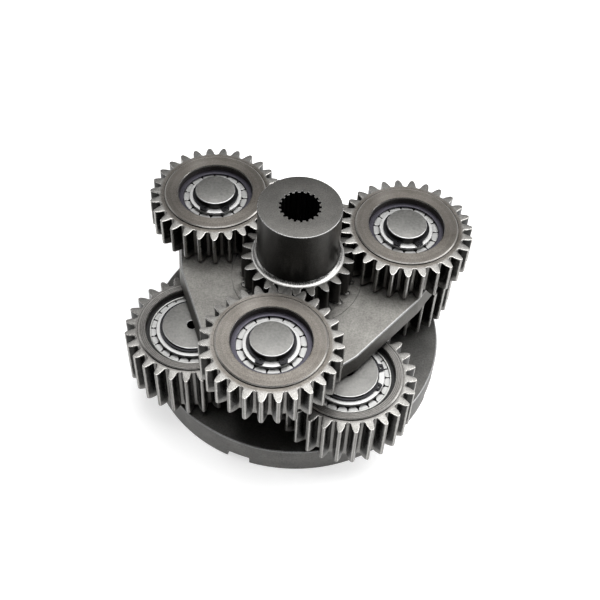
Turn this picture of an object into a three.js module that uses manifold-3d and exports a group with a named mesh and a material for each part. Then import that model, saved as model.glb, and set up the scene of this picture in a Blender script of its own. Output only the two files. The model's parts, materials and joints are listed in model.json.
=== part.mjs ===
// Two-stage planetary gear set: an upper stage of three planets on a three-cornered carrier plate,
// a lower stage of four planets on a round carrier, and the two sun gears on their common axis.
// Millimetres, +Z up. The origin is on the gear axis, at the underside of the lower carrier.
import * as THREE from "three";
import { mergeVertices } from "three/addons/utils/BufferGeometryUtils.js";
import Module from "manifold-3d";

const wasm = await Module();
wasm.setup();

// Shared dimensions
const MODULE = 4;
const PRESSURE_ANGLE = THREE.MathUtils.degToRad(20);
const BACKLASH = 0.7; // taken off each tooth's thickness
const DEDENDUM = 1.25; // in modules
const ORBIT = 100; // distance from the gear axis to every planet pin
const GAP = 0.3; // between pieces that touch on the real object
const OVERLAP = 1; // how far two solids that become one reach into each other
const RING_SIDES = 20;
const HOLE_SIDES = 24;
const HUB_SIDES = 40;

// Heights, from the underside of the lower carrier
const DISC_TOP = 29.4;
const BOSS_TOP = 34.4;
const LOWER_GEAR_BOTTOM = 37.1;
const LOWER_GEAR_TOP = 85.8;
const PLATE_BOTTOM = 91.2;
const PLATE_TOP = 107.2;
const UPPER_GEAR_BOTTOM = 109.2;
const UPPER_GEAR_TOP = 139.5;
const SUN_1_BOTTOM = 109.6;
const SUN_1_TEETH_TOP = 135.5;
const HUB_TOP = 192.1;
const SUN_2_TOP = 106.4;

// The two sun gears. A shift is the profile shift in modules; a turn is the azimuth of one tooth.
const SUN_1 = { teeth: 22, shift: 0.34, tip: 48.9, turn: 7.4 };
const SUN_2 = { teeth: 23, shift: -0.1, tip: 49.6, turn: 8.4 };
const HUB_R = 35.2;
const HUB_FLARE_R = 39.8;
const HUB_FLARE_H = 5;
const HUB_FLARE_BEND = { out: 1, up: 2 }; // a point on the flare's hollow curve, from the hub's foot
const HUB_CHAMFER = 0.8;
const INPUT_SPLINE = { teeth: 21, minor: 15.9, major: 17.75 };
const SUN_2_BORE_R = 16.5;
const SPACER = { inner: 20, outer: 33 };
const SUN_2_REST = { inner: 43, outer: 49 };

// Half of a spline groove's width at the minor and the major radius, in tooth pitches
const GROOVE_MOUTH = 0.3;
const GROOVE_FLOOR = 0.16;

// One stage is its planets and the bearing, pin and rings that each planet runs on. A rise is a
// height over the planets' tooth faces, and a drop is a depth under them.
const UPPER = {
  name: "upper",
  planets: 3,
  turn: -101,
  sun: SUN_1,
  gear: { teeth: 27, shift: 0.2, tip: 58.6 },
  bottom: UPPER_GEAR_BOTTOM,
  top: UPPER_GEAR_TOP,
  stepR: 45.3,
  boreR: 33,
  pin: { r: 17.9, bottom: PLATE_BOTTOM + GAP, rise: 3.2, holeR: 0 },
  innerRing: { r: 21.3, drop: 3.0 },
  rollers: { count: 15, r: 5.4, pitchR: 27.0 },
  retainer: { inner: 28.6, outer: 32.7, thick: 2.0, drop: 4.3 },
  circlip: { r: 20.5, thick: 1.5, drop: 1.2, lugR: 24.2, turn: -90, lugTurn: 26, lugHalf: 8 },
  washer: { r: 31, bottom: PLATE_TOP + GAP },
};
const LOWER = {
  name: "lower",
  planets: 4,
  turn: -63,
  sun: SUN_2,
  gear: { teeth: 27, shift: 0.1, tip: 58.4 },
  bottom: LOWER_GEAR_BOTTOM,
  top: LOWER_GEAR_TOP,
  stepR: 46.8,
  boreR: 40.2,
  pin: { r: 26, bottom: 1.5, rise: 2.4, holeR: 4.3 },
  innerRing: { r: 29.9, drop: 0.9 },
  rollers: { count: 24, r: 4.3, pitchR: 34.6 },
  retainer: { inner: 35.9, outer: 39.9, thick: 1.2, drop: 3.2 },
  circlip: { r: 28.2, thick: 1.5, drop: -0.9, lugR: 32.6, turn: -4, lugTurn: 18, lugHalf: 7 },
  washer: { r: 37, bottom: BOSS_TOP + GAP },
};
const ANNULUS_RISE = 1.6; // the planets' inner face stands this far above their teeth
const CIRCLIP_STEPS = 18;
const CIRCLIP_HOLE_R = 1.1;
const CIRCLIP_HOLE_SIDES = 6;
const CIRCLIP_LUG_TAPER = 0.8; // a lug's width at its end, against its width at the ring
const PIN_CHAMFER = 1.2;
const PIN_HOLE_DEPTH = 30;
const ROLLER_DIP = 0.5; // between two rollers, the ring's outline dips to this much of their radius

// Upper carrier: a plate with three sides and three corners, splined onto the second sun. Each
// side bends inwards at both ends, and more at the end where its azimuth is smaller.
const PLATE_FLAT = 97.3; // from the axis to the middle of a side
const PLATE_FIRST_BEND = { side: -33, turn: THREE.MathUtils.degToRad(12) };
const PLATE_LAST_BEND = { side: 50, turn: THREE.MathUtils.degToRad(8) };
const PLATE_CORNER_R = 126;
const CORNER_STEPS = 6;
const SOCKET_GAP = 0.4; // between the plate's spline and the second sun's teeth

// Lower carrier: a disc with four bosses, a splined centre and four notches in its lower rim
const DISC_R = 134.5;
const DISC_SIDES = 60;
const BOSS_R = 38;
const OUTPUT_SPLINE = { teeth: 24, minor: 37, major: 40 };
const NOTCH = { width: 21, height: 9, depth: 7, turn: 43 };

const steel = (color, roughness, metalness = 0.9) =>
  new THREE.MeshStandardMaterial({ color, roughness, metalness });
const MATERIALS = {
  gear: steel(0x8a8782, 0.42),
  hub: steel(0x55534f, 0.4),
  carrier: steel(0x6f6d68, 0.55),
  pin: steel(0x7e7c78, 0.45),
  bearing: steel(0xb9b7b2, 0.22),
  retainer: steel(0x3a3a48, 0.35),
  circlip: steel(0x1e1e20, 0.4),
  washer: steel(0x8c8578, 0.5),
};

const group = new THREE.Group();

const rad = THREE.MathUtils.degToRad;
const involute = (angle) => Math.tan(angle) - angle;

function polar(r, angle) {
  return new THREE.Vector2(r * Math.cos(angle), r * Math.sin(angle));
}

function circle(r, sides = HOLE_SIDES, cx = 0, cy = 0) {
  const points = [];
  for (let i = 0; i < sides; i += 1) {
    const point = polar(r, (2 * Math.PI * i) / sides);
    points.push(new THREE.Vector2(cx + point.x, cy + point.y));
  }
  return points;
}

// A hole whose flats, not its corners, lie at the radius
function holeCircle(r, sides = HOLE_SIDES, cx = 0, cy = 0) {
  return circle(r / Math.cos(Math.PI / sides), sides, cx, cy);
}

// Extrudes an outline with holes from one height to another
function prism(outline, holes, bottom, top) {
  const shape = new THREE.Shape(outline);
  for (const hole of holes) shape.holes.push(new THREE.Path(hole));
  const geometry = new THREE.ExtrudeGeometry(shape, {
    depth: top - bottom,
    bevelEnabled: false,
  });
  return geometry.translate(0, 0, bottom);
}

// Turns a closed profile of [radius, height] points about the vertical axis
function turned(profile, sides = RING_SIDES) {
  const points = profile.map(([r, z]) => new THREE.Vector2(r, z));
  if (profile[0][0] > 0) points.push(points[0].clone());
  return new THREE.LatheGeometry(points, sides).rotateX(Math.PI / 2);
}

function ring(inner, outer, bottom, top) {
  const clearInner = inner / Math.cos(Math.PI / RING_SIDES);
  return turned([
    [clearInner, bottom],
    [outer, bottom],
    [outer, top],
    [clearInner, top],
  ]);
}

// Half of a tooth's angle at a radius
function toothHalfAngle(gear, r) {
  const pitchR = (MODULE * gear.teeth) / 2;
  const thickness =
    MODULE * (Math.PI / 2 + 2 * gear.shift * Math.tan(PRESSURE_ANGLE)) - BACKLASH;
  const baseR = pitchR * Math.cos(PRESSURE_ANGLE);
  const angleAtR = Math.acos(Math.min(1, baseR / r));
  return thickness / (2 * pitchR) + involute(PRESSURE_ANGLE) - involute(angleAtR);
}

function rootRadius(gear) {
  return MODULE * (gear.teeth / 2 - DEDENDUM + gear.shift);
}

// The outline of a gear, moved outwards by a margin where it is a hole around such a gear
function gearOutline(gear, margin = 0) {
  const root = rootRadius(gear);
  const points = [];
  for (let i = 0; i < gear.teeth; i += 1) {
    const centre = rad(gear.turn) + (2 * Math.PI * i) / gear.teeth;
    const rootHalf = toothHalfAngle(gear, root) + margin / root;
    const tipHalf = toothHalfAngle(gear, gear.tip) + margin / gear.tip;
    points.push(polar(root + margin, centre - rootHalf));
    points.push(polar(gear.tip + margin, centre - tipHalf));
    points.push(polar(gear.tip + margin, centre + tipHalf));
    points.push(polar(root + margin, centre + rootHalf));
  }
  return points;
}

// An internal spline's outline: grooves between the minor and the major radius
function splineOutline(spline) {
  const step = (2 * Math.PI) / spline.teeth;
  const points = [];
  for (let i = 0; i < spline.teeth; i += 1) {
    points.push(polar(spline.minor, (i - GROOVE_MOUTH) * step));
    points.push(polar(spline.major, (i - GROOVE_FLOOR) * step));
    points.push(polar(spline.major, (i + GROOVE_FLOOR) * step));
    points.push(polar(spline.minor, (i + GROOVE_MOUTH) * step));
  }
  return points;
}

function toSolid(geometry) {
  const bare = geometry.clone();
  bare.deleteAttribute("normal");
  bare.deleteAttribute("uv");
  const merged = mergeVertices(bare, 1e-4);
  return new wasm.Manifold(
    new wasm.Mesh({
      numProp: 3,
      vertProperties: merged.attributes.position.array,
      triVerts: new Uint32Array(merged.index.array),
    }),
  );
}

function toGeometry(solid) {
  const mesh = solid.getMesh();
  const geometry = new THREE.BufferGeometry();
  geometry.setAttribute("position", new THREE.BufferAttribute(mesh.vertProperties, 3));
  geometry.setIndex(new THREE.BufferAttribute(mesh.triVerts, 1));
  geometry.computeVertexNormals();
  return geometry;
}

function add(parent, name, geometry, material) {
  const mesh = new THREE.Mesh(geometry, material);
  mesh.name = name;
  parent.add(mesh);
}

// The azimuth of a planet's pin
function pinAngle(stage, index) {
  return stage.turn + (360 * index) / stage.planets;
}

// The azimuth of a planet's tooth that meshes with its sun gear
function planetTurn(stage, index) {
  const azimuth = pinAngle(stage, index);
  const gapAngle = ((stage.sun.turn - azimuth) * stage.sun.teeth) / stage.gear.teeth;
  return azimuth + 180 - gapAngle + 180 / stage.gear.teeth;
}

function planetGear(stage, index) {
  const gear = { ...stage.gear, turn: planetTurn(stage, index) };
  const bore = holeCircle(stage.boreR, RING_SIDES);
  const body = toSolid(prism(gearOutline(gear), [bore], stage.bottom, stage.top));
  const annulusTop = stage.top + ANNULUS_RISE;
  const annulus = toSolid(prism(circle(stage.stepR), [bore], stage.top - OVERLAP, annulusTop));
  return toGeometry(body.add(annulus));
}

function pinGeometry(stage) {
  const { r, bottom, rise, holeR } = stage.pin;
  const top = stage.top + rise;
  const profile = [
    [0, bottom],
    [r, bottom],
    [r, top - PIN_CHAMFER],
    [r - PIN_CHAMFER, top],
  ];
  if (holeR > 0) {
    profile.push([holeR, top], [holeR, top - PIN_HOLE_DEPTH], [0, top - PIN_HOLE_DEPTH]);
  } else {
    profile.push([0, top]);
  }
  return turned(profile, HOLE_SIDES);
}

// The row of rollers, as one ring with a lobe for each roller
function rollerGeometry(stage) {
  const { count, r, pitchR } = stage.rollers;
  const top = stage.top - stage.retainer.drop - stage.retainer.thick - GAP;
  const outline = [];
  for (let i = 0; i < count; i += 1) {
    outline.push(polar(pitchR + r, (2 * Math.PI * i) / count));
    outline.push(polar(pitchR + r * ROLLER_DIP, (2 * Math.PI * (i + 0.5)) / count));
  }
  return prism(outline, [holeCircle(pitchR - r, RING_SIDES)], stage.bottom + GAP, top);
}

// An external retaining ring: an open ring with two lugs, each with a hole for the pliers
function circlipGeometry(stage) {
  const { r, thick, drop, lugR, lugTurn, lugHalf } = stage.circlip;
  const inner = (stage.pin.r + GAP) / Math.cos(Math.PI / CIRCLIP_STEPS);
  const lugNear = rad(lugTurn - lugHalf);
  const lugFar = rad(lugTurn + lugHalf);
  const taper = rad(lugHalf) * (1 - CIRCLIP_LUG_TAPER);
  const points = [];
  for (let i = 0; i <= CIRCLIP_STEPS; i += 1) {
    points.push(polar(r, lugFar + ((2 * Math.PI - 2 * lugFar) * i) / CIRCLIP_STEPS));
  }
  points.push(polar(lugR, -lugFar + taper), polar(lugR, -lugNear - taper));
  for (let i = 0; i <= CIRCLIP_STEPS; i += 1) {
    points.push(polar(inner, -lugNear - ((2 * Math.PI - 2 * lugNear) * i) / CIRCLIP_STEPS));
  }
  points.push(polar(lugR, lugNear + taper), polar(lugR, lugFar - taper));
  const holes = [-1, 1].map((side) => {
    const centre = polar((inner + lugR) / 2, side * rad(lugTurn));
    return circle(CIRCLIP_HOLE_R, CIRCLIP_HOLE_SIDES, centre.x, centre.y);
  });
  const top = stage.top - drop;
  return prism(points, holes, top - thick, top);
}

function addPlanet(stage, index) {
  const name = (piece) => `${stage.name}_${piece}_${index + 1}`;
  const { innerRing, retainer, washer, pin, circlip } = stage;
  const place = new THREE.Group();
  const centre = polar(ORBIT, rad(pinAngle(stage, index)));
  place.position.set(centre.x, centre.y, 0);

  add(place, name("planet_gear"), planetGear(stage, index), MATERIALS.gear);
  add(place, name("planet_pin"), pinGeometry(stage), MATERIALS.pin);
  add(place, name("rollers"), rollerGeometry(stage), MATERIALS.bearing);

  const race = ring(pin.r + GAP, innerRing.r, stage.bottom, stage.top - innerRing.drop);
  add(place, name("bearing_inner_ring"), race, MATERIALS.bearing);

  const retainerTop = stage.top - retainer.drop;
  const keeper = ring(retainer.inner, retainer.outer, retainerTop - retainer.thick, retainerTop);
  add(place, name("roller_retaining_ring"), keeper, MATERIALS.retainer);

  const thrust = ring(pin.r + GAP, washer.r, washer.bottom, stage.bottom - GAP);
  add(place, name("thrust_washer"), thrust, MATERIALS.washer);

  const clip = circlipGeometry(stage).rotateZ(rad(circlip.turn));
  add(place, name("pin_circlip"), clip, MATERIALS.circlip);
  group.add(place);
}

// First sun gear: its teeth, and the tall hub with the splined bore that takes the input shaft
function sunGear1() {
  const teeth = toSolid(prism(gearOutline(SUN_1), [], SUN_1_BOTTOM, SUN_1_TEETH_TOP));
  const profile = [
    [0, SUN_1_TEETH_TOP - OVERLAP],
    [HUB_FLARE_R, SUN_1_TEETH_TOP - OVERLAP],
    [HUB_FLARE_R, SUN_1_TEETH_TOP],
    [HUB_R + HUB_FLARE_BEND.out, SUN_1_TEETH_TOP + HUB_FLARE_BEND.up],
    [HUB_R, SUN_1_TEETH_TOP + HUB_FLARE_H],
    [HUB_R, HUB_TOP - HUB_CHAMFER],
    [HUB_R - HUB_CHAMFER, HUB_TOP],
    [0, HUB_TOP],
  ];
  const hub = toSolid(turned(profile, HUB_SIDES));
  const boreOutline = splineOutline(INPUT_SPLINE);
  const bore = toSolid(prism(boreOutline, [], SUN_1_BOTTOM - OVERLAP, HUB_TOP + OVERLAP));
  return toGeometry(teeth.add(hub).subtract(bore));
}

// Second sun gear: its teeth mesh with the lower planets and, at the top, fill the plate's spline
function sunGear2() {
  const bore = holeCircle(SUN_2_BORE_R, HOLE_SIDES);
  return prism(gearOutline(SUN_2), [bore], LOWER_GEAR_BOTTOM, SUN_2_TOP);
}

// Where a side meets the corner's arc after a bend: its distance out, and along the side
function sideEnd(bend) {
  const reach = Math.abs(bend.side);
  const along = reach * Math.cos(bend.turn) - PLATE_FLAT * Math.sin(bend.turn);
  const short = PLATE_CORNER_R ** 2 - PLATE_FLAT ** 2 - reach ** 2;
  const run = Math.sqrt(along ** 2 + short) - along;
  const side = Math.sign(bend.side) * (reach + run * Math.cos(bend.turn));
  return [PLATE_FLAT - run * Math.sin(bend.turn), side];
}

// Each side from its first end to its last, and the corner after it
function plateOutline() {
  const firstEnd = sideEnd(PLATE_FIRST_BEND);
  const lastEnd = sideEnd(PLATE_LAST_BEND);
  const sideTurn = (2 * Math.PI) / UPPER.planets;
  const sweep = sideTurn - Math.atan2(lastEnd[1], lastEnd[0]) + Math.atan2(firstEnd[1], firstEnd[0]);
  const points = [];
  for (let i = 0; i < UPPER.planets; i += 1) {
    const normal = rad(pinAngle(UPPER, i)) - sideTurn / 2;
    const at = (out, side) => polar(out, normal).add(polar(side, normal + Math.PI / 2));
    const corner = at(...lastEnd);
    points.push(at(...firstEnd), at(PLATE_FLAT, PLATE_FIRST_BEND.side));
    points.push(at(PLATE_FLAT, PLATE_LAST_BEND.side), corner);
    for (let step = 1; step < CORNER_STEPS; step += 1) {
      points.push(polar(PLATE_CORNER_R, corner.angle() + (sweep * step) / CORNER_STEPS));
    }
  }
  return points;
}

function pinHoles(stage) {
  const holes = [];
  for (let i = 0; i < stage.planets; i += 1) {
    const centre = polar(ORBIT, rad(pinAngle(stage, i)));
    holes.push(holeCircle(stage.pin.r + GAP, HOLE_SIDES, centre.x, centre.y));
  }
  return holes;
}

function upperCarrier() {
  const holes = [gearOutline(SUN_2, SOCKET_GAP), ...pinHoles(UPPER)];
  return prism(plateOutline(), holes, PLATE_BOTTOM, PLATE_TOP);
}

function lowerCarrier() {
  const holes = [splineOutline(OUTPUT_SPLINE), ...pinHoles(LOWER)];
  let disc = toSolid(prism(circle(DISC_R, DISC_SIDES), holes, 0, DISC_TOP));
  for (let i = 0; i < LOWER.planets; i += 1) {
    const azimuth = rad(pinAngle(LOWER, i));
    const centre = polar(ORBIT, azimuth);
    const outline = circle(BOSS_R, HOLE_SIDES, centre.x, centre.y);
    const hole = holeCircle(LOWER.pin.r + GAP, HOLE_SIDES, centre.x, centre.y);
    disc = disc.add(toSolid(prism(outline, [hole], DISC_TOP - OVERLAP, BOSS_TOP)));

    const notch = new THREE.BoxGeometry(2 * NOTCH.depth, NOTCH.width, 2 * NOTCH.height);
    notch.translate(DISC_R, 0, 0).rotateZ(azimuth + rad(NOTCH.turn));
    disc = disc.subtract(toSolid(notch));
  }
  return toGeometry(disc);
}

add(group, "first_sun_gear", sunGear1(), MATERIALS.hub);
add(group, "second_sun_gear", sunGear2(), MATERIALS.gear);
const spacer = ring(SPACER.inner, SPACER.outer, SUN_2_TOP + GAP, SUN_1_BOTTOM - GAP);
add(group, "sun_spacer_ring", spacer, MATERIALS.washer);
const rest = ring(SUN_2_REST.inner, SUN_2_REST.outer, DISC_TOP + GAP, LOWER_GEAR_BOTTOM - GAP);
add(group, "sun_thrust_ring", rest, MATERIALS.washer);
add(group, "upper_carrier", upperCarrier(), MATERIALS.carrier);
add(group, "lower_carrier", lowerCarrier(), MATERIALS.carrier);
for (const stage of [UPPER, LOWER]) {
  for (let i = 0; i < stage.planets; i += 1) addPlanet(stage, i);
}

export default group;
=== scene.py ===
"""The looks of a two-stage planetary gear set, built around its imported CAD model.

Lengths are in millimetres, and MM turns them into metres, unless a comment says metres. The gear
axis is the Z axis. Each planet is built about its own pin, which its joint in the record places.
"""

import json
import math
from functools import partial, reduce

import bmesh
import bpy
import numpy as np
from mathutils import Matrix, Vector


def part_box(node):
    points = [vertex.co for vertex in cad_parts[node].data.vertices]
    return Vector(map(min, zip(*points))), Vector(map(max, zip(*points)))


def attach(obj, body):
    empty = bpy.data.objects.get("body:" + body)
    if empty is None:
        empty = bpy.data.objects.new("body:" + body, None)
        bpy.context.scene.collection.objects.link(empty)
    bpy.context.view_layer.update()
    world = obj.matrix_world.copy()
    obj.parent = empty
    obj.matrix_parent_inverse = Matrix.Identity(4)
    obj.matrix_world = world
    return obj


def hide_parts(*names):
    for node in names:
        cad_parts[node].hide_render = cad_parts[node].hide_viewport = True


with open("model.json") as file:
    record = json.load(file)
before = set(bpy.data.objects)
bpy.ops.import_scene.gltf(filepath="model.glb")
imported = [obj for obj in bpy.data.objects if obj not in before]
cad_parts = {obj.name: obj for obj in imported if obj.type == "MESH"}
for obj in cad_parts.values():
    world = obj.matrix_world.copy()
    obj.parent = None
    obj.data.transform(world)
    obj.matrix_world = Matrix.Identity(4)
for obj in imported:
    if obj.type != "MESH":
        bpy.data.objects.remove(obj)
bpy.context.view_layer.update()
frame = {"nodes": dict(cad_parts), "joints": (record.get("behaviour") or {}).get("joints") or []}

MM = 0.001
MODULE = 4.0
PRESSURE_ANGLE = math.radians(20)
BACKLASH = 0.22  # taken off each tooth's thickness
DEDENDUM = 1.25  # in modules
ANNULUS_RISE = 1.6  # the planets' inner face stands this far above their teeth
STEP_CHAMFER = 1.1  # across, on the outer edge of that face
STEP_DRAFT = 0.05  # the step under that chamfer leans in by this much
TOOTH_CHAMFER = 0.45
END_FALL = 0.6  # a tooth's end faces are this much lower at its tip than at its root
FILLET_RISE = 1.7  # from a tooth's root to where its flank starts
FLANK_FALL = 0.95  # from its tip to where its flank ends
TIP_BREAK = 0.55  # the width broken off each side of a tooth's tip
LATHE_SIDES = 128
COLUMN_SIDES = 96
CREASE_REACH = 0.02  # an edge this near a creased radius is kept sharp
WELD = 1e-6  # metres; points nearer than this are joined
SMOOTH_ANGLE = math.radians(52)  # faces that meet at less than this are shaded as one
PIN_FIT = 0.12  # clearance all round a pin
BORE_CHAMFER = 0.8
INPUT_CHAMFER = 0.2  # at the ends of the hub's spline

UPPER = dict(  # counts and radii, unless a comment says otherwise
    name="upper",
    planets=3,
    fixed_body="upper_carrier_body",
    shift=0.2,  # profile shift, in modules
    tip=58.6,
    step_r=45.3,
    bore_r=33.0,
    pin_r=17.9,
    pin_hole_r=0.0,
    inner_rib_r=23.5,
    rollers=15,
    roller_r=5.33,
    roller_pitch_r=27.0,
    keeper_lip=(28.5, 32.9),  # inner and outer
    clip_outer=20.3,
    clip_lug=23.5,
    clip_hole=(20.1, 0.85),  # from the pin's axis, and the hole's own
    clip_turn=-88.0,  # degrees: the gap's azimuth
    clip_lug_turn=26.5,  # degrees: each lug's, from the gap
    clip_lug_half=10.3,  # degrees: half a lug
)
LOWER = dict(
    name="lower",
    planets=4,
    fixed_body="lower_carrier_body",
    shift=0.1,
    tip=58.4,
    step_r=46.8,
    # radii of painted shade lines, for turned grooves the mesh does not have
    web_shade_line_radii=(41.8, 43.2, 44.6),
    bore_r=40.2,
    pin_r=26.0,
    pin_hole_r=4.3,
    inner_rib_r=31.4,
    rollers=24,
    roller_r=4.25,
    roller_pitch_r=34.6,
    keeper_lip=(35.8, 37.1),
    clip_outer=28.0,
    clip_lug=31.0,
    clip_hole=(28.5, 1.2),
    clip_turn=-7.0,
    clip_lug_turn=20.0,
    clip_lug_half=7.2,
)
PLANET_TEETH = 27
SUN_1 = {"teeth": 22, "shift": 0.34, "tip": 48.9}
SUN_2 = {"teeth": 23, "shift": -0.1, "tip": 49.6}
HUB_R = 35.2
HUB_FLARE_R = 39.8
HUB_FLARE_H = 2.7
SUN_1_TEETH_TOP = 135.5
SPLINE_STEPS = (0.06, 0.12, 0.165, 0.19, 0.22, 0.25, 0.28, 0.30, 0.36, 0.43)  # of a pitch
GROOVE_SIDE = 0.165, 0.30  # a groove's side, from its floor to its mouth, in fractions of a pitch
INPUT_SPLINE = {"teeth": 21, "minor": 15.9, "major": 17.7}
OUTPUT_SPLINE = {"teeth": 24, "minor": 37.0, "major": 40.0}
SUN_2_BORE_R = 16.5
SUN_2_FACE_R = 38.5
SUN_2_CHAMFER = 0.3
SPACER_BORE_R = 20.0
THRUST_RING_BORE_R = 43.0
SOCKET_GAP = 0.3  # between the plate's splined hole and the second sun's teeth
PLATE_SEAM = {"radius": 57.4, "width": 0.6, "depth": 1.6, "drop": 0.6}
PLATE_FLAT = 97.3
PLATE_CORNER_R = 126.0
PLATE_FIRST_BEND = {"side": -33.0, "turn": math.radians(12)}
PLATE_LAST_BEND = {"side": 50.0, "turn": math.radians(8)}
PLATE_LEAN = 1.0  # the side wall's top is this far inside that outline, and its foot as far outside
DISC_R = 134.5
DISC_TOP = 29.4
BOSS_R = 38.0
NOTCH = {"width": 21.0, "height": 9.0, "depth": 7.0, "turn": math.radians(43)}


# -------- camera, floor and light

MIX_FACTOR, MIX_FIRST, MIX_SECOND, MIX_RESULT = 0, 6, 7, 2  # a Mix node's sockets for colours

CAMERA_AIM = (3.93, -55.5, 139.5)  # the point on the upper gears' top plane that the lens looks at
CAMERA_DISTANCE = 811.1
CAMERA_PITCH = math.radians(50.85)
CAMERA_ROLL = math.radians(3.11)
CAMERA_TURN = math.radians(-1.31)  # of the whole camera and its aim about the gear axis
CAMERA_LENS = 59.34

FLOOR_SIZE = 40.0  # metres
FLOOR_SQUARES = 24
FLOOR_LEVEL = -0.0004  # metres, just under the model
LIGHT_AIM = (0.0, 0.0, 0.08)
LIGHTS = (  # name, place, aim and size in metres, and power in watts
    ("overhead", (0.42, 0.19, 1.25), (0.42, 0.19, 0.0), (1.75, 1.22), 37.0),
    ("right", (1.5, 0.1, 0.7), LIGHT_AIM, (0.6, 0.9), 7.0),
    ("left", (-1.5, 0.3, 0.7), LIGHT_AIM, (0.5, 0.8), 1.5),
)
WORLD_GREYS = (0.0, 0.04), (1.0, 0.5), (0.35, 0.05), (0.75, 0.12)  # a direction's height, its grey
BACK_SWEEP = ("Z", 0.44, 0.30), ("Y", 0.05, 0.35)  # where the white behind starts and is full


def added(name, data):
    """A new object in the scene."""
    made = bpy.data.objects.new(name, data)
    bpy.context.scene.collection.objects.link(made)
    return made


def make_camera():
    """Looks down at the set from the front, with a slight roll."""
    forward = Vector((0, math.cos(CAMERA_PITCH), -math.sin(CAMERA_PITCH)))
    right = Vector((1, 0, 0))
    up = right.cross(forward)
    rolled_right = right * math.cos(CAMERA_ROLL) + up * math.sin(CAMERA_ROLL)
    rolled_up = up * math.cos(CAMERA_ROLL) - right * math.sin(CAMERA_ROLL)
    data = bpy.data.cameras.new("camera")
    data.lens = CAMERA_LENS
    camera = added("camera", data)
    turn = Matrix((rolled_right, rolled_up, -forward)).transposed().to_4x4()
    place = (Vector(CAMERA_AIM) - forward * CAMERA_DISTANCE) * MM
    camera.matrix_world = Matrix.Rotation(CAMERA_TURN, 4, "Z") @ Matrix.Translation(place) @ turn
    bpy.context.scene.camera = camera


def make_floor():
    """A wide pale floor, which fills the view down to low angles."""
    across = FLOOR_SQUARES + 1
    coords = np.linspace(-FLOOR_SIZE / 2, FLOOR_SIZE / 2, across)
    points = [(x, y, FLOOR_LEVEL) for y in coords for x in coords]
    faces = []
    for row in range(FLOOR_SQUARES):
        for column in range(FLOOR_SQUARES):
            first = row * across + column
            faces.append((first, first + 1, first + across + 1, first + across))
    mesh = bpy.data.meshes.new("floor")
    mesh.from_pydata(points, [], faces)
    floor = added("floor", mesh)
    mesh.materials.append(floor_material())


def area_light(name, place, aim, size, power):
    data = bpy.data.lights.new(name, "AREA")
    data.shape = "RECTANGLE"
    data.size, data.size_y = size
    data.energy = power
    light = added(name, data)
    light.location = place
    direction = Vector(aim) - Vector(place)
    light.rotation_euler = direction.to_track_quat("-Z", "Y").to_euler()


def make_world():
    """A dim studio that is lighter overhead, with a white sweep low behind the set."""
    world = bpy.data.worlds.new("studio")
    bpy.context.scene.world = world
    world.use_nodes = True
    world.node_tree.nodes.clear()
    tree = Tree(world.node_tree)
    coords = tree.node("ShaderNodeTexCoord").outputs["Generated"]
    direction = tree.node("ShaderNodeSeparateXYZ", {0: coords}).outputs
    ramp = tree.node("ShaderNodeValToRGB", {"Fac": direction["Z"]})
    stops = ramp.color_ramp.elements
    for index, (position, grey) in enumerate(WORLD_GREYS):
        stop = stops[index] if index < 2 else stops.new(position)
        stop.position, stop.color = position, (grey, grey, grey, 1)
    sweep = [tree.spread(direction[axis], 0.0, 1.0, *limits) for axis, *limits in BACK_SWEEP]
    colour = tree.blend(tree.product(*sweep), ramp.outputs["Color"], (1, 1, 1, 1))
    background = tree.node("ShaderNodeBackground", {"Color": colour})
    tree.node("ShaderNodeOutputWorld", {"Surface": background.outputs[0]})


# -------- materials

UPPER_WEB = (0.078, 0.070, 0.061), (0.145, 0.135, 0.123)  # darkest and lightest, from bore to step
LOWER_WEB = (0.108, 0.103, 0.097), (0.158, 0.153, 0.146)
TOOTH_ENDS = (0.160, 0.156, 0.148), (0.235, 0.230, 0.220)
# painted shade for the middle of the teeth's flanks, darkest and lightest
FLANK_PAINTED_SHADE = (0.006, 0.006, 0.0056), (0.022, 0.0215, 0.020)
# painted shade on upright walls inside the teeth's roots: the planets' step wall, the sun's bore
INNER_WALL_PAINTED_SHADE = (0.02, 0.02, 0.019, 1)
# painted highlight on chamfers and broken tooth tips
EDGE_PAINTED_HIGHLIGHT = (0.55, 0.54, 0.52, 1)
# painted highlight on the sloping hub flare
FLARE_PAINTED_HIGHLIGHT = (0.30, 0.296, 0.289, 1)


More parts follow.
